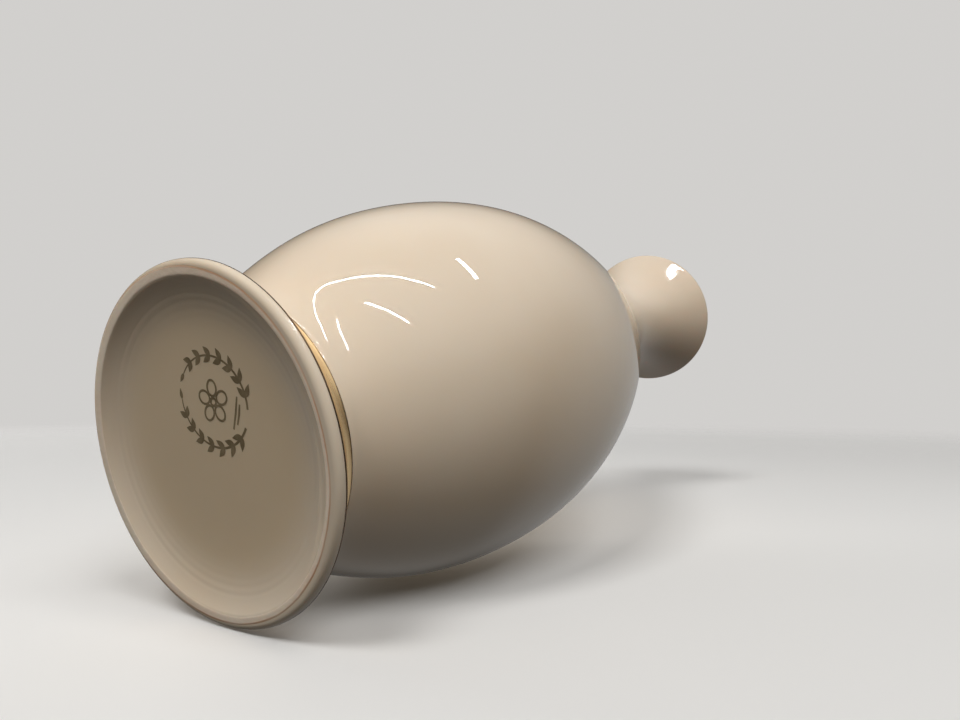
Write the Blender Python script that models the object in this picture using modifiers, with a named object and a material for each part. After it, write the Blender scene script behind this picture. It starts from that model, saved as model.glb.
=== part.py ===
"""Porcelain vase: three slip-cast sections luted together, with a gilded foot.

Metres, +Z up. The origin is on the ground at the centre of the standing ring,
and the vase's axis is Z. Every piece is a turned ring or disc about that axis.
"""
import math

import bpy
import numpy as np

MM = 0.001

# Driving dimensions, in millimetres
HEIGHT = 240.0          # standing ring to lip
FOOT_R = 34.8           # widest edge of the foot
EDGE_Z = 1.8            # height of that edge
RING_OUT_R = 33.8       # bare standing ring, outer side
RING_IN_R = 31.7        # bare standing ring, inner side
WELL_Z = 3.1            # depth of the dished recess under the foot
WELL_POWER = 6          # how late its floor turns down to the ring
FLOOR_TOP = 7.0         # inside bottom of the vase
WAIST_Z = 10.4          # narrowest place above the foot
WAIST_R = 28.0
LIP_R = 29.5            # outside of the mouth, below its rounded rim
WALL_BODY = 3.3
WALL_NECK = 2.9
FOOT_JOINT_Z = 8.9      # top of the foot casting
NECK_JOINT_Z = 174.0    # top of the body casting
LUTE = 0.7              # thickness of a slip joint
GAP = 0.3               # clearance between pieces that touch
GILT_SKIN = 0.35        # thickness given to the fired gold
GILT_LOW_Z = 2.6        # gilding starts just above the foot's edge
GILT_TOP_Z = 10.4       # and ends at the waist

STEPS = 48              # facets round the axis

# Stations of the outer curve from the waist to the lip: height, radius
STATIONS = [
    (WAIST_Z, WAIST_R),
    (21.0, 32.2),
    (38.5, 40.6),
    (63.0, 46.1),
    (87.5, 46.6),
    (112.0, 42.4),
    (133.0, 35.9),
    (151.0, 28.8),
    (169.0, 21.2),
    (188.0, 15.3),
    (212.0, 17.2),
    (HEIGHT, LIP_R),
]


def spline_curvatures(stations):
    """Second derivatives of the cubic that runs level at the waist and free at the lip."""
    z, r = np.array(stations).T
    n = len(z)
    step = np.diff(z)
    rise = np.diff(r) / step
    a = np.zeros((n, n))
    b = np.zeros(n)
    a[0, 0] = step[0] / 3
    a[0, 1] = step[0] / 6
    b[0] = rise[0]
    for i in range(1, n - 1):
        a[i, i - 1] = step[i - 1] / 6
        a[i, i] = (step[i - 1] + step[i]) / 3
        a[i, i + 1] = step[i] / 6
        b[i] = rise[i] - rise[i - 1]
    a[-1, -1] = 1.0
    return np.linalg.solve(a, b)


CURVATURE = spline_curvatures(STATIONS)


def wall_radius(height):
    """Outer radius and slope of the body and neck at a height."""
    z = [s[0] for s in STATIONS]
    r = [s[1] for s in STATIONS]
    i = min(max(np.searchsorted(z, height) - 1, 0), len(z) - 2)
    h = z[i + 1] - z[i]
    a = (z[i + 1] - height) / h
    b = (height - z[i]) / h
    m0 = CURVATURE[i]
    m1 = CURVATURE[i + 1]
    radius = a * r[i] + b * r[i + 1] + ((a**3 - a) * m0 + (b**3 - b) * m1) * h * h / 6
    slope = (r[i + 1] - r[i]) / h + ((1 - 3 * a * a) * m0 + (3 * b * b - 1) * m1) * h / 6
    return radius, slope


def flange_radius(height):
    """Outer radius of the foot's hollow upper side, from its edge up to the waist."""
    t = (WAIST_Z - height) / (WAIST_Z - EDGE_Z)
    return WAIST_R + (FOOT_R - WAIST_R) * t**2.4


def recess_height(radius):
    """Height of the recess: nearly level in the middle, then down to the ring."""
    return 0.1 + (WELL_Z - 0.1) * (1 - (radius / RING_IN_R) ** WELL_POWER)


def inner_radius(height, wall):
    """Inner radius that leaves the same wall thickness square to the surface."""
    radius, slope = wall_radius(height)
    return radius - wall * math.sqrt(1 + slope * slope)


def arc(centre_r, centre_z, radius, start, end, count):
    """Points of an arc, angles in degrees from +X towards +Z."""
    points = []
    for k in range(count + 1):
        angle = math.radians(start + (end - start) * k / count)
        points.append((centre_r + radius * math.cos(angle), centre_z + radius * math.sin(angle)))
    return points


def material(name, colour, roughness, metallic=0.0):
    mat = bpy.data.materials.new(name)
    mat.use_nodes = True
    bsdf = mat.node_tree.nodes["Principled BSDF"]
    bsdf.inputs["Base Color"].default_value = (*colour, 1.0)
    bsdf.inputs["Roughness"].default_value = roughness
    bsdf.inputs["Metallic"].default_value = metallic
    return mat


def turned(name, outline, closed, base_z, mat):
    """Turn an outline of (radius, height) points about Z; it runs down the outer side."""
    verts = [(r * MM, 0.0, (z - base_z) * MM) for r, z in outline]
    edges = [(i, i + 1) for i in range(len(verts) - 1)]
    if closed:
        edges.append((len(verts) - 1, 0))
    mesh = bpy.data.meshes.new(name)
    mesh.from_pydata(verts, edges, [])
    mesh.materials.append(mat)
    obj = bpy.data.objects.new(name, mesh)
    obj.location = (0.0, 0.0, base_z * MM)
    obj.parent = vase
    pieces.objects.link(obj)
    screw = obj.modifiers.new("turn", "SCREW")
    screw.axis = "Z"
    screw.angle = 2 * math.pi
    screw.steps = STEPS
    screw.render_steps = STEPS
    screw.use_merge_vertices = True
    screw.merge_threshold = 0.00001
    screw.use_smooth_shade = True
    return obj


def side(start, end, count, radius_at):
    """Points along a side between two heights."""
    heights = [start + (end - start) * k / count for k in range(count + 1)]
    return [(radius_at(z), z) for z in heights]


for old in list(bpy.data.objects):
    bpy.data.objects.remove(old)

pieces = bpy.data.collections.new("porcelain_vase")
bpy.context.scene.collection.children.link(pieces)
vase = bpy.data.objects.new("vase", None)
pieces.objects.link(vase)

glaze = material("ivory_glaze", (0.66, 0.57, 0.45), 0.08)
slip = material("fired_slip", (0.72, 0.65, 0.56), 0.6)
gold = material("fired_gold", (0.80, 0.52, 0.22), 0.18, 1.0)

BODY_BASE = FOOT_JOINT_Z + LUTE + 2 * GAP
NECK_BASE = NECK_JOINT_Z + LUTE + 2 * GAP
REBATE = GILT_SKIN + GAP
FOOT_INNER_R = WAIST_R - REBATE - WALL_BODY


def body_inside(z):
    return inner_radius(z, WALL_BODY)


def neck_inside(z):
    return inner_radius(z, WALL_NECK)


# Foot casting, inside: flat bottom and a low upstand that ends at the joint
foot = [(0.0, FLOOR_TOP)]
foot += arc(FOOT_INNER_R - 2.2, FLOOR_TOP + 1.5, 1.5, -90, -20, 4)
foot += [(FOOT_INNER_R, FOOT_JOINT_Z)]
# The hollow flange, let in for the gilding, and the rounded edge
foot += side(FOOT_JOINT_Z, GILT_LOW_Z - GAP, 7, lambda z: flange_radius(z) - REBATE)
foot += [(flange_radius(GILT_LOW_Z - GAP), GILT_LOW_Z - GAP), (FOOT_R, EDGE_Z)]
foot += [(FOOT_R - 0.1, EDGE_Z - 0.6), (FOOT_R - 0.4, EDGE_Z - 1.2), (RING_OUT_R, 0.15)]
# The standing ring
foot += [(RING_OUT_R - 0.6, 0.0), (RING_IN_R + 0.4, 0.0), (RING_IN_R, 0.1)]
# The recess under the foot
foot += [(r, recess_height(r)) for r in (30.9, 29.8, 28.4, 26.6, 24.2, 21.0, 16.0, 0.0)]
turned("foot_with_base", foot, False, 0.0, glaze)

# Slip joint between the foot and the body, under the gilding
low = FOOT_JOINT_Z + GAP
high = low + LUTE
lute_out = flange_radius(high) - REBATE
lute_in = FOOT_INNER_R + 0.1
turned("foot_slip_joint", [(lute_out, high), (lute_out, low), (lute_in, low), (lute_in, high)], True, low, slip)

# Body casting: an egg-shaped shell whose lowest edge is let in for the gilding
body = side(NECK_JOINT_Z, GILT_TOP_Z + GAP, 20, lambda z: wall_radius(z)[0])
body += [(WAIST_R - REBATE, GILT_TOP_Z + GAP), (WAIST_R - REBATE, BODY_BASE), (FOOT_INNER_R, BODY_BASE)]
body += side(14.0, NECK_JOINT_Z, 16, body_inside)
turned("body", body, True, BODY_BASE, glaze)

# Slip joint between the body and the neck, flush with both
low = NECK_JOINT_Z + GAP
high = low + LUTE
lute_out = wall_radius(high)[0]
lute_in = body_inside(low) + 0.1
turned("neck_slip_joint", [(lute_out, high), (lute_out, low), (lute_in, low), (lute_in, high)], True, low, slip)

# Neck casting: narrow throat, flared mouth, and a round lip square to the flare
LIP_HALF = WALL_NECK / 2
lip_z = HEIGHT - LIP_HALF
flare = math.atan(wall_radius(lip_z)[1])
tangent_z = lip_z - LIP_HALF * math.sin(flare)
lip_r = wall_radius(tangent_z)[0] - LIP_HALF * math.cos(flare)
lean = math.degrees(flare)
neck = arc(lip_r, lip_z, LIP_HALF, 180 - lean, -lean, 6)
neck += side(tangent_z, NECK_BASE, 13, lambda z: wall_radius(z)[0])[1:]
neck += side(NECK_BASE, lip_z - 0.5, 11, neck_inside)
turned("neck_and_mouth", neck, True, NECK_BASE, glaze)

# Fired gold over the hollow flange, from above the foot's edge to the waist
gilt = side(GILT_TOP_Z, GILT_LOW_Z, 8, flange_radius)
gilt += [(r - GILT_SKIN, z) for r, z in reversed(gilt)]
turned("gilded_foot_band", gilt, True, GILT_LOW_Z, gold)
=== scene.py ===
"""Looks of the porcelain vase: ivory glaze, bare standing ring, gilded foot, printed mark."""
import math

import bpy
import bmesh
import numpy as np
from mathutils import Matrix, Vector, noise


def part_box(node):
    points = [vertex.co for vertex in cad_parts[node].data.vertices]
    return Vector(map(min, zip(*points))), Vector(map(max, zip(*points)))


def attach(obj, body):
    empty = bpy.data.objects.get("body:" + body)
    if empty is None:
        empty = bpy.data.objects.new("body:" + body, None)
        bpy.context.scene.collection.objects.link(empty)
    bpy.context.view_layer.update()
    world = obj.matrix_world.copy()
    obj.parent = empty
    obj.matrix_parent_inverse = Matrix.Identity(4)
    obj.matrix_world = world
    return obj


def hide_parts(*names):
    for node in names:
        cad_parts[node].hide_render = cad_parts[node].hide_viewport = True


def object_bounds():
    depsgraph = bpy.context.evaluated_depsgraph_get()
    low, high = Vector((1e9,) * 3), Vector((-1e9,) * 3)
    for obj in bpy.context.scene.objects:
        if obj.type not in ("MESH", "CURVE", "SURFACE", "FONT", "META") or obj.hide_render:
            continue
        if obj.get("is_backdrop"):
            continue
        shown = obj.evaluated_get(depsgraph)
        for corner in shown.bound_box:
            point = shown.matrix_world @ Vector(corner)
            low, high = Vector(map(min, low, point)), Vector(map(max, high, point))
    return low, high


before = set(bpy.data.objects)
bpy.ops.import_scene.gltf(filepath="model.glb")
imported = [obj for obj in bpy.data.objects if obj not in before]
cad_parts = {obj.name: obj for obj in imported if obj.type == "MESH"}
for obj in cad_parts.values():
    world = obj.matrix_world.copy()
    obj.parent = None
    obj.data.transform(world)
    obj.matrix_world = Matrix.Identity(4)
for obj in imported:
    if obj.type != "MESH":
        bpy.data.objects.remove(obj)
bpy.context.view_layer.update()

MM = 0.001
TURNS = 192             # facets round a turned piece
FULL_WARP_R = 20.0      # mm; nearer the axis the unevenness fades out

# The outer curve from the waist to the lip, as in the CAD: height, radius in mm
WAIST_Z = 10.4
WAIST_R = 28.0
FOOT_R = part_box("foot_with_base")[1].x / MM
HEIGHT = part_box("neck_and_mouth")[1].z / MM
EDGE_Z = 1.8
STATIONS = [
    (WAIST_Z, WAIST_R), (21.0, 32.2), (38.5, 40.6), (63.0, 46.1), (87.5, 46.6), (112.0, 42.4),
    (133.0, 35.9), (151.0, 28.8), (169.0, 21.2), (188.0, 15.3), (212.0, 17.2), (240.0, 29.5),
]
RING_OUT_R = 33.8
EDGE_R = 33.3           # where the glaze was wiped off the ring, on average
RING_IN_R = 31.7
WELL_Z = 3.1            # depth of the recess under the foot
WELL_POWER = 7          # how squarely the recess turns up at its side
RIPPLE_R = 29.0         # outermost of the turning rings in the recess
RIPPLE_HEIGHT = 0.03
FLOOR_TOP = 7.0         # inside floor of the vase
WALL_BODY = 3.3
WALL_NECK = 2.9
FOOT_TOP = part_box("foot_with_base")[1].z / MM
BODY_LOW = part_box("body")[0].z / MM
NECK_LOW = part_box("neck_and_mouth")[0].z / MM
BODY_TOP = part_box("body")[1].z / MM
FOOT_SEAM = (FOOT_TOP + BODY_LOW) / 2
NECK_SEAM = (BODY_TOP + NECK_LOW) / 2
GILT_LOW = 1.5          # lower edge of the gold, on the foot's rim
GILT_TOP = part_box("gilded_foot_band")[1].z / MM


# ---------------------------------------------------------------- shape

def spline_curvatures(stations):
    """Second derivatives of a cubic spline: slope 0 at the first station, no bend at the last."""
    z, r = np.array(stations).T
    n = len(z)
    step = np.diff(z)
    rise = np.diff(r) / step
    a = np.zeros((n, n))
    b = np.zeros(n)
    a[0, 0] = step[0] / 3
    a[0, 1] = step[0] / 6
    b[0] = rise[0]
    for i in range(1, n - 1):
        a[i, i - 1] = step[i - 1] / 6
        a[i, i] = (step[i - 1] + step[i]) / 3
        a[i, i + 1] = step[i] / 6
        b[i] = rise[i] - rise[i - 1]
    a[-1, -1] = 1.0
    return np.linalg.solve(a, b)


CURVATURE = spline_curvatures(STATIONS)


def wall(height):
    """Outer radius and slope of the body and neck."""
    z = [s[0] for s in STATIONS]
    r = [s[1] for s in STATIONS]
    i = min(max(int(np.searchsorted(z, height)) - 1, 0), len(z) - 2)
    h = z[i + 1] - z[i]
    a = (z[i + 1] - height) / h
    b = (height - z[i]) / h
    m0, m1 = CURVATURE[i], CURVATURE[i + 1]
    radius = a * r[i] + b * r[i + 1] + ((a**3 - a) * m0 + (b**3 - b) * m1) * h * h / 6
    slope = (r[i + 1] - r[i]) / h + ((1 - 3 * a * a) * m0 + (3 * b * b - 1) * m1) * h / 6
    return radius, slope


def flange(height):
    """Outer radius of the foot's hollow upper side."""
    t = max(WAIST_Z - height, 0.0) / (WAIST_Z - EDGE_Z)
    return WAIST_R + (FOOT_R - WAIST_R) * t**2.4


def inside(height, thick):
    """Inner radius, with the wall's thickness measured square to the wall."""
    radius, slope = wall(height)
    return radius - thick * math.sqrt(1 + slope * slope)


def recess(r):
    """Height of the dished recess under the foot, with the faint rings that turning leaves."""
    height = 0.1 + (WELL_Z - 0.1) * (1 - (r / RING_IN_R) ** WELL_POWER)
    inward = RIPPLE_R - r
    if inward > 0:
        height += RIPPLE_HEIGHT * math.sin(inward * 4.2) * math.exp(-inward / 2.0)
    return height


def spread(start, end, count):
    """Evenly spaced values from start to end, both included."""
    return [start + (end - start) * k / count for k in range(count + 1)]


def warp(angle, height):
    """Slight unevenness that firing leaves in the round shape, in mm."""
    two = 0.10 * math.cos(2 * (angle - 0.6)) * math.exp(-height / 60)
    slow = noise.noise(Vector((math.cos(angle) * 1.1, math.sin(angle) * 1.1, height / 45 + 7.0)))
    return two + 0.12 * slow


def turned(name, outline, closed, mat):
    """A turned mesh from (radius, height) points in mm; the outline runs down the outer side."""
    bm = bmesh.new()
    rings = []
    for r, z in outline:
        if r < 1e-6:
            rings.append([bm.verts.new((0, 0, z * MM))])
            continue
        ring = []
        for k in range(TURNS):
            a = 2 * math.pi * k / TURNS
            rr = r + warp(a, z) * min(r / FULL_WARP_R, 1.0)
            ring.append(bm.verts.new((rr * MM * math.cos(a), rr * MM * math.sin(a), z * MM)))
        rings.append(ring)
    pairs = list(zip(rings, rings[1:]))
    if closed:
        pairs.append((rings[-1], rings[0]))
    for up, down in pairs:
        for k in range(TURNS):
            j = (k + 1) % TURNS
            if len(up) == 1:
                bm.faces.new((up[0], down[k], down[j]))
            elif len(down) == 1:
                bm.faces.new((up[k], down[0], up[j]))
            else:
                bm.faces.new((up[k], down[k], down[j], up[j]))
    mesh = bpy.data.meshes.new(name)
    bm.to_mesh(mesh)
    bm.free()
    mesh.materials.append(mat)
    mesh.shade_smooth()
    mesh.set_sharp_from_angle(angle=math.radians(40))
    obj = bpy.data.objects.new(name, mesh)
    bpy.context.scene.collection.objects.link(obj)
    return obj


# ---------------------------------------------------------------- materials

def srgb(r, g, b):
    """Linear colour from 0-255 display values."""
    out = []
    for v in (r, g, b):
        v /= 255
        out.append(v / 12.92 if v <= 0.04045 else ((v + 0.055) / 1.055) ** 2.4)
    return (*out, 1.0)


class Nodes:
    """Short helper for building a material's nodes."""

    def __init__(self, name):
        self.mat = bpy.data.materials.new(name)
        self.mat.use_nodes = True
        self.tree = self.mat.node_tree
        self.bsdf = self.tree.nodes["Principled BSDF"]
        self.coords = self.add("ShaderNodeTexCoord").outputs["Object"]

    def add(self, kind, **props):
        node = self.tree.nodes.new(kind)
        for key, value in props.items():
            setattr(node, key, value)
        return node

    def link(self, a, b):
        self.tree.links.new(a, b)

    def noise(self, scale, detail=2.0, rough=0.5, vector=None):
        node = self.add("ShaderNodeTexNoise")
        node.inputs["Scale"].default_value = scale
        node.inputs["Detail"].default_value = detail
        node.inputs["Roughness"].default_value = rough
        self.link(vector or self.coords, node.inputs["Vector"])
        return node.outputs["Fac"]

    def math(self, op, a, b=None):
        node = self.add("ShaderNodeMath", operation=op)
        for socket, value in zip(node.inputs, (a, b)):
            if value is None:
                continue
            if isinstance(value, (int, float)):
                socket.default_value = value
            else:
                self.link(value, socket)
        return node.outputs[0]

    def remap(self, value, low, high, to_low=0.0, to_high=1.0):
        """A smooth step from low to high."""
        node = self.add("ShaderNodeMapRange", interpolation_type="SMOOTHSTEP")
        self.link(value, node.inputs["Value"])
        for key, v in (("From Min", low), ("From Max", high), ("To Min", to_low), ("To Max", to_high)):
            node.inputs[key].default_value = v
        return node.outputs["Result"]

    def mix(self, fac, a, b):
        node = self.add("ShaderNodeMix", data_type="RGBA")
        for key, value in ((0, fac), (6, a), (7, b)):
            if isinstance(value, (int, float, tuple)):
                node.inputs[key].default_value = value
            else:
                self.link(value, node.inputs[key])
        return node.outputs[2]

    def bump(self, height, distance, strength=1.0):
        node = self.add("ShaderNodeBump")
        node.inputs["Strength"].default_value = strength
        node.inputs["Distance"].default_value = distance
        self.link(height, node.inputs["Height"])
        self.link(node.outputs["Normal"], self.bsdf.inputs["Normal"])

    def cylinder(self):
        """Radius and height in mm."""
        sep = self.add("ShaderNodeSeparateXYZ")
        self.link(self.coords, sep.inputs[0])
        x, y, z = sep.outputs
        rr = self.math("ADD", self.math("MULTIPLY", x, x), self.math("MULTIPLY", y, y))
        return self.math("MULTIPLY", self.math("SQRT", rr), 1000.0), self.math("MULTIPLY", z, 1000.0)


GLAZE = srgb(228, 210, 186)
GLAZE_WARM = srgb(223, 202, 175)


def glaze_material(name):
    """Warm ivory porcelain under a thick clear glaze."""
    n = Nodes(name)
    cloud = n.remap(n.noise(14, 3, 0.55), 0.35, 0.68)
    colour = n.mix(cloud, GLAZE, GLAZE_WARM)
    # a few iron specks and pinholes under the glaze
    cells = n.add("ShaderNodeTexVoronoi", feature="F1")
    cells.inputs["Scale"].default_value = 95
    n.link(n.coords, cells.inputs["Vector"])
    dot = n.remap(cells.outputs["Distance"], 0.025, 0.05, 1.0, 0.0)
    rare = n.remap(n.noise(22, 1), 0.66, 0.70)
    colour = n.mix(n.math("MULTIPLY", n.math("MULTIPLY", dot, rare), 0.45), colour, srgb(128, 98, 70))
    n.link(colour, n.bsdf.inputs["Base Color"])
    rough = n.remap(n.noise(35, 4, 0.6), 0.3, 0.8, 0.02, 0.06)
    n.link(rough, n.bsdf.inputs["Roughness"])
    n.bsdf.inputs["IOR"].default_value = 1.52
    n.bsdf.inputs["Subsurface Weight"].default_value = 0.12
    n.bsdf.inputs["Subsurface Radius"].default_value = (1.0, 0.62, 0.38)
    n.bsdf.inputs["Subsurface Scale"].default_value = 0.004
    n.bump(n.noise(60, 2, 0.45), 0.00006, 0.5)
    return n


def foot_material():
    """The same glaze, wiped off the standing ring, with a toasted line where it stops, and painted shade in
    the middle of the recess.
    """
    n = glaze_material("foot_glaze_and_bare_ring")
    radius, height = n.cylinder()
    off = n.add("ShaderNodeVectorMath", operation="DOT_PRODUCT")
    n.link(n.coords, off.inputs[0])
    off.inputs[1].default_value = (0.62 * 20, 0.79 * 20, 0.0)
    wobble = n.math("MULTIPLY", n.math("SUBTRACT", n.noise(60, 3, 0.55), 0.5), 0.6)
    r_in = n.math("ADD", radius, wobble)
    r = n.math("ADD", r_in, off.outputs["Value"])
    inner = n.remap(r_in, RING_IN_R - 0.1, RING_IN_R + 0.3)
    outer = n.remap(r, EDGE_R - 0.15, EDGE_R + 0.15, 1.0, 0.0)
    under = n.remap(height, 0.9, 1.2, 1.0, 0.0)
    bare = n.math("MULTIPLY", n.math("MULTIPLY", inner, outer), under)
    glazed = n.bsdf.inputs["Base Color"].links[0].from_socket
    # painted shade: the glaze in the middle of the recess under the foot is made darker and warmer
    recess_shade = n.math("MULTIPLY", n.remap(radius, 20.0, 30.0, 1.0, 0.0), n.remap(height, 3.6, 4.2, 1.0, 0.0))
    glazed = n.mix(recess_shade, glazed, srgb(222, 199, 166))
    grain = n.noise(900, 3, 0.6)
    biscuit = n.mix(n.remap(n.noise(48, 4, 0.6), 0.3, 0.7), srgb(252, 233, 210), srgb(246, 221, 196))
    biscuit = n.mix(n.remap(grain, 0.58, 0.75, 0.0, 0.35), biscuit, srgb(253, 240, 222))
    dirt = n.remap(n.noise(90, 5, 0.7), 0.60, 0.80, 0.0, 0.45)
    biscuit = n.mix(dirt, biscuit, srgb(222, 190, 166))
    specks = n.add("ShaderNodeTexVoronoi", feature="F1")
    specks.inputs["Scale"].default_value = 210
    n.link(n.coords, specks.inputs["Vector"])
    dot = n.remap(specks.outputs["Distance"], 0.07, 0.12, 1.0, 0.0)
    rare = n.remap(n.noise(55, 0), 0.62, 0.66)
    biscuit = n.mix(n.math("MULTIPLY", n.math("MULTIPLY", dot, rare), 0.8), biscuit, srgb(92, 66, 48))
    colour = n.mix(bare, glazed, biscuit)
    # toasted line at the outer edge of the bare clay
    line_in = n.remap(r, EDGE_R - 0.30, EDGE_R - 0.06)
    line_out = n.remap(r, EDGE_R + 0.04, EDGE_R + 0.26, 1.0, 0.0)
    patchy = n.remap(n.noise(40, 2), 0.38, 0.62, 0.25, 1.0)
    line = n.math("MULTIPLY", n.math("MULTIPLY", line_in, line_out), n.math("MULTIPLY", patchy, under))
    colour = n.mix(n.math("MULTIPLY", line, 0.7), colour, srgb(196, 134, 84))
    n.link(colour, n.bsdf.inputs["Base Color"])
    shine = n.bsdf.inputs["Roughness"].links[0].from_socket
    both = n.add("ShaderNodeMix", data_type="FLOAT")
    n.link(bare, both.inputs[0])
    n.link(shine, both.inputs[2])
    both.inputs[3].default_value = 0.72
    n.link(both.outputs[0], n.bsdf.inputs["Roughness"])
    rough_grain = n.math("MULTIPLY", grain, bare)
    smooth = n.math("MULTIPLY", n.noise(60, 2, 0.45), 0.4)
    n.bump(n.math("ADD", rough_grain, smooth), 0.00016, 0.6)
    return n.mat


def gold_material():
    """Bright fired gold, thin and a little rubbed, with a dark line at its painted upper edge and, along
    its lower edge on the rim, darkening that is partly the gilding's own edge and partly painted shade and
    dark reflection.
    """
    n = Nodes("fired_gold_film")
    _, height = n.cylinder()
    streak = n.add("ShaderNodeMapping")
    streak.inputs["Scale"].default_value = (1.0, 1.0, 8.0)
    n.link(n.coords, streak.inputs["Vector"])
    brush = n.noise(70, 4, 0.6, streak.outputs[0])
    gold = n.mix(n.remap(brush, 0.35, 0.7), srgb(240, 210, 162), srgb(224, 186, 134))
    edge = n.math("ADD", height, n.math("MULTIPLY", n.math("SUBTRACT", n.noise(160, 2), 0.5), 0.25))
    top = n.remap(edge, GILT_TOP - 0.34, GILT_TOP - 0.14)
    gold = n.mix(n.math("MULTIPLY", top, 0.85), gold, srgb(104, 72, 44))
    # partly painted shade and dark reflection: the gold darkens along its lower edge on the foot's rim,
    # partly the gilding's own dark edge
    low = n.remap(edge, GILT_LOW + 0.30, GILT_LOW + 0.62, 1.0, 0.0)
    gold = n.mix(n.math("MULTIPLY", low, 0.92), gold, srgb(74, 48, 28))
    n.link(gold, n.bsdf.inputs["Base Color"])
    n.bsdf.inputs["Metallic"].default_value = 1.0
    n.link(n.remap(brush, 0.3, 0.8, 0.20, 0.38), n.bsdf.inputs["Roughness"])
    n.bump(brush, 0.00004, 0.5)
    return n.mat


def slip_material():
    n = Nodes("fired_slip")
    n.link(n.mix(n.noise(80, 4), srgb(214, 196, 176), srgb(196, 176, 154)), n.bsdf.inputs["Base Color"])
    n.bsdf.inputs["Roughness"].default_value = 0.65
    n.bump(n.noise(300, 3), 0.00008, 0.5)
    return n.mat


def print_material():
    """Brown-grey underglaze print."""
    n = Nodes("underglaze_print")
    n.link(n.mix(n.remap(n.noise(260, 4, 0.7), 0.35, 0.7), srgb(120, 104, 76), srgb(146, 128, 98)),
           n.bsdf.inputs["Base Color"])
    n.bsdf.inputs["Roughness"].default_value = 0.18
    n.bump(n.noise(60, 2, 0.45), 0.00003, 0.3)
    return n.mat


glaze = glaze_material("ivory_glaze_visual").mat
foot_mix = foot_material()
gold = gold_material()
slip = slip_material()
ink = print_material()


# ---------------------------------------------------------------- pieces

def finish_piece(obj, slot, *nodes):
    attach(obj, "root")
    if nodes:
        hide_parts(*nodes)


FILM = 0.07             # the glaze lies this far under the gold, in mm

# Foot: inside floor, flange, rounded edge, bare ring, and the recess
inner_r = WAIST_R - 0.65 - WALL_BODY
foot = [(0.0, FLOOR_TOP)]
for k in range(9):
    a = math.radians(-90 + 80 * k / 8)
    foot.append((inner_r - 2.0 + 1.9 * math.cos(a), FLOOR_TOP + 1.9 + 1.9 * math.sin(a)))
foot += [(inner_r, FOOT_SEAM)]
foot += [(flange(z) - FILM, z) for z in spread(FOOT_SEAM, 2.35, 30)]
EDGE_DROPS = ((0.75, 2.26), (0.38, 2.14), (0.14, 1.99), (0.03, 1.82), (0.0, 1.62))
EDGE_ARC = [(FOOT_R - drop, z) for drop, z in EDGE_DROPS]
foot += [(r - FILM, z) for r, z in EDGE_ARC]
foot += [(FOOT_R - 0.02 - FILM, GILT_LOW + 0.02), (FOOT_R - 0.02, GILT_LOW - 0.03)]
for k in range(13):
    a = math.radians(-8 - 78 * k / 12)
    foot.append((RING_OUT_R - 0.35 + 1.33 * math.cos(a), 1.36 + 1.36 * math.sin(a)))
foot += [(r, 0.0) for r in (33.2, 32.9, 32.6, 32.4)]
foot += [(32.2, 0.01), (32.0, 0.03), (31.85, 0.06)]
for r in spread(RING_IN_R, 22.0, 44):
    foot.append((r, recess(r)))
foot += [(r, recess(r)) for r in spread(21.0, 0.0, 12)]
foot_piece = turned("foot_casting", foot, False, foot_mix)
finish_piece(foot_piece, "ivory_glaze", "foot_with_base")

# Body: egg-shaped shell
body = [(wall(z)[0], z) for z in spread(NECK_SEAM, GILT_TOP + 0.06, 110)]
body += [(WAIST_R - FILM, GILT_TOP - 0.02), (WAIST_R - FILM, FOOT_SEAM + 0.01)]
body += [(inner_r, FOOT_SEAM + 0.01)]
body += [(inside(z, WALL_BODY), z) for z in spread(14.0, NECK_SEAM, 60)]
body_piece = turned("body_casting", body, True, glaze)
finish_piece(body_piece, "ivory_glaze", "body")

# Neck and mouth
half = WALL_NECK / 2
lip_z = HEIGHT - half
flare = math.atan(wall(lip_z)[1])
tangent_z = lip_z - half * math.sin(flare)
lip_r = wall(tangent_z)[0] - half * math.cos(flare)
neck = []
for k in range(15):
    a = math.pi - flare - math.pi * k / 14
    neck.append((lip_r + half * math.cos(a), lip_z + half * math.sin(a)))
neck += [(wall(z)[0], z) for z in spread(tangent_z, NECK_SEAM, 60)][1:]
neck += [(inside(z, WALL_NECK), z) for z in spread(NECK_SEAM, lip_z - 0.3, 50)]
neck_piece = turned("neck_casting", neck, True, glaze)
finish_piece(neck_piece, "ivory_glaze", "neck_and_mouth")

# Slip joints, buried in the wall between the castings
for node in ("foot_slip_joint", "neck_slip_joint"):
    lo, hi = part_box(node)
    low, high = lo.z / MM, hi.z / MM
    if node == "foot_slip_joint":
        r_out, r_in = flange(high) - 0.9, inner_r + 0.4
    else:
        r_out, r_in = wall(high)[0] - 0.4, inside(low, WALL_BODY) + 0.5
    ring = [(r_out, high), (r_out, low), (r_in, low), (r_in, high)]
    piece = turned(node.replace("_joint", "_ring"), ring, True, slip)
    finish_piece(piece, "fired_slip", node)

# Gilding: a film that follows the flange from the edge to the waist
film = [(WAIST_R - FILM, GILT_TOP + 0.02), (WAIST_R + 0.01, GILT_TOP)]
film += [(flange(z), z) for z in spread(GILT_TOP - 0.1, 2.35, 44)]
film += EDGE_ARC + [(FOOT_R - 0.01, GILT_LOW + 0.03), (FOOT_R - 0.03 - FILM, GILT_LOW)]
film += [(r - FILM, z) for r, z in reversed(EDGE_ARC)]
film += [(flange(z) - FILM, z) for z in spread(2.35, GILT_TOP - 0.1, 44)]
gilt = turned("foot_gilding", film, True, gold)
finish_piece(gilt, "fired_gold", "gilded_foot_band")


# ---------------------------------------------------------------- printed mark

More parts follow.
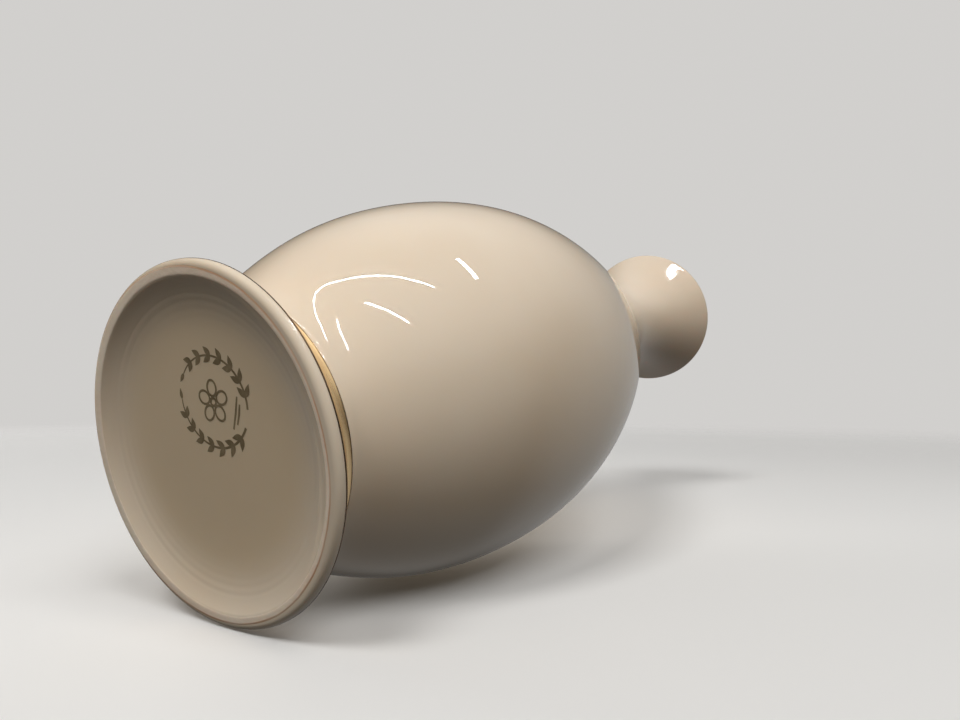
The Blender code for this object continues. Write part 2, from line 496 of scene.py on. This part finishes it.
def stroke(bm, points, widths, place):
    """A flat printed line that follows points, with a width at each."""
    left, right = [], []
    n = len(points)
    for i in range(n):
        a = Vector(points[max(i - 1, 0)])
        b = Vector(points[min(i + 1, n - 1)])
        side = (b - a).normalized()
        side = Vector((-side.y, side.x))
        p = Vector(points[i])
        w = widths[i] / 2
        left.append(bm.verts.new(place(p + side * w)))
        right.append(bm.verts.new(place(p - side * w)))
    for i in range(n - 1):
        bm.faces.new((left[i], right[i], right[i + 1], left[i + 1]))


def leaf(bm, base, direction, length, width, place):
    """A flat printed leaf."""
    d = Vector(direction).normalized()
    s = Vector((-d.y, d.x))
    base = Vector(base)
    rim = []
    for k in range(9):
        t = k / 8
        rim.append(base + d * length * t + s * width * math.sin(math.pi * t**0.8) * 0.5)
    for k in range(7, 0, -1):
        t = k / 8
        rim.append(base + d * length * t - s * width * math.sin(math.pi * t**0.8) * 0.5)
    bm.faces.new([bm.verts.new(place(p)) for p in rim])


MARK_TURN = math.radians(-26)
MARK_AT = Vector((7.2, -4.5))   # mm from the vase's axis
PRINT_LIFT = 0.02               # the print stands this far off the glaze, in mm
LAYER_GAP = 0.006               # between strokes that cross


def layer(count):
    """A map from the mark's own plane, in mm, to the recess floor; layers that cross lie apart."""
    def place(p):
        c, s = math.cos(MARK_TURN), math.sin(MARK_TURN)
        x, y = c * p.x + s * p.y + MARK_AT.x, s * p.x - c * p.y + MARK_AT.y
        return (x * MM, y * MM, (recess(math.hypot(x, y)) - PRINT_LIFT - LAYER_GAP * count) * MM)
    return place


bm = bmesh.new()
# two laurel sprigs that curve round towards each other
for sign in (-1, 1):
    stem, wide = [], []
    for k in range(33):
        a = math.radians(-78 + 150 * k / 32)
        stem.append((sign * 8.6 * math.cos(a), 9.4 * math.sin(a)))
        wide.append(0.55 - 0.25 * k / 32)
    stroke(bm, stem, wide, layer(0))
    for k in range(3, 31, 4):
        p = Vector(stem[k])
        along = (Vector(stem[k + 1]) - Vector(stem[k - 1])).normalized()
        out = Vector((-along.y, along.x))
        size = 2.9 - 0.02 * k
        leaf(bm, p, along + out * 0.75, size, 1.25, layer(1))
        leaf(bm, p, along - out * 0.75, size, 1.25, layer(2))
    leaf(bm, stem[-1], Vector(stem[-1]) - Vector(stem[-2]), 2.2, 0.9, layer(1))
# a five-petalled blossom in the middle
for k in range(5):
    a = 2 * math.pi * k / 5 + math.pi / 2
    d = Vector((math.cos(a), math.sin(a)))
    s = Vector((-d.y, d.x))
    petal = []
    for j in range(25):
        t = 2 * math.pi * j / 24
        petal.append(d * (2.6 + 1.5 * math.cos(t)) + s * 1.25 * math.sin(t))
    stroke(bm, petal, [0.46] * 25, layer(k))
centre = [(0.75 * math.cos(2 * math.pi * k / 16), 0.75 * math.sin(2 * math.pi * k / 16)) for k in range(17)]
stroke(bm, centre, [0.5] * 17, layer(5))
# a double rule under the blossom
for drop, reach in ((-6.1, 3.2), (-7.0, 2.0)):
    stroke(bm, [(-reach, drop), (0.0, drop - 0.12), (reach, drop)], [0.4, 0.55, 0.4], layer(0))
for face in bm.faces:
    face.normal_update()
    if face.normal.z > 0:
        face.normal_flip()
mesh = bpy.data.meshes.new("printed_mark")
bm.to_mesh(mesh)
bm.free()
mesh.materials.append(ink)
mark = bpy.data.objects.new("printed_mark", mesh)
bpy.context.scene.collection.objects.link(mark)
finish_piece(mark, "fired_slip")


# ---------------------------------------------------------------- stage

def stage_material(name, fade_at, fade_to):
    """Pale matt paper, seen from its upper side only, fading out far from the vase."""
    mat = bpy.data.materials.new(name)
    mat.use_nodes = True
    tree = mat.node_tree
    bsdf = tree.nodes["Principled BSDF"]
    bsdf.inputs["Base Color"].default_value = (0.80, 0.79, 0.77, 1.0)
    bsdf.inputs["Roughness"].default_value = 0.9
    bsdf.inputs["Specular IOR Level"].default_value = 0.0
    clear = tree.nodes.new("ShaderNodeBsdfTransparent")
    mix = tree.nodes.new("ShaderNodeMixShader")
    coords = tree.nodes.new("ShaderNodeTexCoord")
    length = tree.nodes.new("ShaderNodeVectorMath")
    length.operation = "LENGTH"
    tree.links.new(coords.outputs["Object"], length.inputs[0])
    fade = tree.nodes.new("ShaderNodeMapRange")
    fade.interpolation_type = "SMOOTHSTEP"
    fade.inputs["From Min"].default_value = fade_at
    fade.inputs["From Max"].default_value = fade_to
    fade.inputs["To Min"].default_value = 0.0
    fade.inputs["To Max"].default_value = 1.0
    tree.links.new(length.outputs["Value"], fade.inputs["Value"])
    geo = tree.nodes.new("ShaderNodeNewGeometry")
    either = tree.nodes.new("ShaderNodeMath")
    either.operation = "MAXIMUM"
    tree.links.new(fade.outputs["Result"], either.inputs[0])
    tree.links.new(geo.outputs["Backfacing"], either.inputs[1])
    tree.links.new(either.outputs[0], mix.inputs[0])
    tree.links.new(bsdf.outputs[0], mix.inputs[1])
    tree.links.new(clear.outputs[0], mix.inputs[2])
    tree.links.new(mix.outputs[0], tree.nodes["Material Output"].inputs["Surface"])
    return mat


SHEET_HALF = 3.0        # m, well past where the paper has faded out


def sheet(name, origin, normal, mat):
    """A flat sheet that only the camera sees, so it neither shades nor lights the vase."""
    mesh = bpy.data.meshes.new(name)
    h = SHEET_HALF
    mesh.from_pydata([(-h, -h, 0), (h, -h, 0), (h, h, 0), (-h, h, 0)], [], [(0, 1, 2, 3)])
    mesh.materials.append(mat)
    obj = bpy.data.objects.new(name, mesh)
    obj.rotation_mode = "QUATERNION"
    obj.rotation_quaternion = Vector(normal).to_track_quat("Z", "Y")
    obj.location = origin
    obj.visible_shadow = False
    obj.visible_diffuse = False
    obj.visible_glossy = False
    obj.visible_transmission = False
    bpy.context.scene.collection.objects.link(obj)
    obj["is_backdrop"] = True
    return obj


sheet("floor", (0, 0, -0.0002), (0, 0, 1), stage_material("pale_paper", 0.35, 0.95))

# The surface that the vase lies against, touching the foot's edge and the belly
LEAN_SIDE = Vector((-math.cos(math.radians(45)), math.sin(math.radians(45)), 0))
heights = np.linspace(40, 100, 241)
lean = max((wall(z)[0] - FOOT_R) / (z - EDGE_Z) for z in heights)
lean_angle = math.atan(lean)
rest_normal = -LEAN_SIDE * math.cos(lean_angle) + Vector((0, 0, math.sin(lean_angle)))
rest_point = LEAN_SIDE * (FOOT_R + 0.35) * MM + Vector((0, 0, EDGE_Z * MM))
sheet("table", rest_point, rest_normal, stage_material("pale_table", 0.30, 0.95))


# ---------------------------------------------------------------- light

def softbox(name, toward, distance, size, power, aim=(0, 0, 0.08)):
    """A square softbox that lights the vase but doesn't show in the glaze."""
    light = bpy.data.lights.new(name, "AREA")
    light.energy = power
    light.shape = "SQUARE"
    light.size = size
    obj = bpy.data.objects.new(name, light)
    way = Vector(toward).normalized()
    obj.location = Vector(aim) + way * distance
    obj.rotation_mode = "QUATERNION"
    obj.rotation_quaternion = way.to_track_quat("Z", "Y")
    obj.visible_camera = False
    obj.visible_glossy = False
    bpy.context.scene.collection.objects.link(obj)


def strip_light(name, start, end, width, radiance, aim=(0, 0, 0.03)):
    """A thin strip that shows only as a highlight in the glaze."""
    start, end, aim = Vector(start), Vector(end), Vector(aim)
    light = bpy.data.lights.new(name, "AREA")
    light.shape = "RECTANGLE"
    light.size = (end - start).length
    light.size_y = width
    light.energy = radiance * math.pi * light.size * light.size_y
    obj = bpy.data.objects.new(name, light)
    middle = (start + end) / 2
    x = (end - start).normalized()
    z = middle - aim
    z = (z - x * z.dot(x)).normalized()
    y = z.cross(x)
    obj.matrix_world = Matrix((
        (x.x, y.x, z.x, middle.x),
        (x.y, y.y, z.y, middle.y),
        (x.z, y.z, z.z, middle.z),
        (0, 0, 0, 1),
    ))
    obj.visible_camera = False
    obj.visible_diffuse = False
    bpy.context.scene.collection.objects.link(obj)


# the photo's shading fits one main light from this side, filled in by a few weak ones
KEY = (0.98, -0.15, -0.13)
softbox("key", KEY, 1.3, 0.7, 9.0)
softbox("key_low", (0.70, -0.62, -0.42), 1.3, 0.4, 7.6, aim=(0, 0, 0.02))
softbox("overhead", (-0.42, -0.05, 0.90), 1.3, 0.9, 14.0)
strip_light("strip_outer", (0.300, -0.362, 0.045), (0.456, -0.122, 0.148), 0.0026, 110)
softbox("front", (0.35, -0.45, -0.82), 1.0, 0.5, 0.3, aim=(0, 0, 0))
softbox("back", (-0.60, -0.76, 0.15), 1.3, 0.8, 10.0)
strip_light("strip_lip", (1.30, -0.70, 0.90), (1.44, -0.34, 0.88), 0.04, 60, aim=(0.026, -0.004, 0.234))
strip_light("strip_inner", (0.436, -0.205, 0.015), (0.486, -0.022, 0.030), 0.0026, 110)

world = bpy.data.worlds.new("studio")
bpy.context.scene.world = world
world.use_nodes = True
wt = world.node_tree
wt.nodes.clear()


def world_node(kind, **props):
    node = wt.nodes.new(kind)
    for key, value in props.items():
        setattr(node, key, value)
    return node


def background(colour, strength):
    node = world_node("ShaderNodeBackground")
    node.inputs["Color"].default_value = colour
    if isinstance(strength, float):
        node.inputs["Strength"].default_value = strength
    else:
        wt.links.new(strength, node.inputs["Strength"])
    return node.outputs[0]


# reflections: a dim room with broad soft lights in it, without edges
sky = world_node("ShaderNodeTexCoord").outputs["Generated"]
total = None
for way, tight, wide, gain in (
    ((0.80, -0.57, 0.20), 0.98, 0.20, 1.10),
    ((-0.10, 0.30, 0.95), 0.99, 0.70, 0.35),
    ((-0.75, 0.60, 0.25), 0.99, 0.75, 0.20),
):
    dot = world_node("ShaderNodeVectorMath", operation="DOT_PRODUCT")
    wt.links.new(sky, dot.inputs[0])
    dot.inputs[1].default_value = Vector(way).normalized()
    blob = world_node("ShaderNodeMapRange", interpolation_type="SMOOTHERSTEP")
    wt.links.new(dot.outputs["Value"], blob.inputs["Value"])
    for key, v in (("From Min", wide), ("From Max", tight), ("To Min", 0.0), ("To Max", gain)):
        blob.inputs[key].default_value = v
    add = world_node("ShaderNodeMath", operation="ADD")
    wt.links.new(blob.outputs["Result"], add.inputs[0])
    if total is None:
        add.inputs[1].default_value = 0.07
    else:
        wt.links.new(total, add.inputs[1])
    total = add.outputs[0]

path = world_node("ShaderNodeLightPath")
seen = background((0.80, 0.785, 0.765, 1.0), 0.80)
ambient = background((1.0, 0.985, 0.96, 1.0), 0.08)
mirrored = background((1.0, 0.985, 0.96, 1.0), total)
inner = world_node("ShaderNodeMixShader")
wt.links.new(path.outputs["Is Glossy Ray"], inner.inputs[0])
wt.links.new(ambient, inner.inputs[1])
wt.links.new(mirrored, inner.inputs[2])
outer = world_node("ShaderNodeMixShader")
wt.links.new(path.outputs["Is Camera Ray"], outer.inputs[0])
wt.links.new(inner.outputs[0], outer.inputs[1])
wt.links.new(seen, outer.inputs[2])
wt.links.new(outer.outputs[0], world_node("ShaderNodeOutputWorld").inputs["Surface"])

bpy.context.scene.view_settings.view_transform = "Standard"

# ---------------------------------------------------------------- camera

cam_data = bpy.data.cameras.new("camera")
cam_data.sensor_width = 36.0
cam_data.lens = 26.36
cam_data.clip_start = 0.005
cam_data.clip_end = 20.0
cam = bpy.data.objects.new("camera", cam_data)
bpy.context.scene.collection.objects.link(cam)
# close under the foot, turned so that the vase seems to lie on its side
CAMERA_AT = Vector((0.0986, 0.0619, -0.0766))
ahead = Vector((-0.4676, -0.3040, 0.8300)).normalized()
up = Vector((0.7131, -0.6846, 0.1511))
up = (up - ahead * up.dot(ahead)).normalized()
across = ahead.cross(up)
cam.matrix_world = Matrix((
    (across.x, up.x, -ahead.x, CAMERA_AT.x),
    (across.y, up.y, -ahead.y, CAMERA_AT.y),
    (across.z, up.z, -ahead.z, CAMERA_AT.z),
    (0, 0, 0, 1),
))
bpy.context.scene.camera = cam

lo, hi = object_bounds()
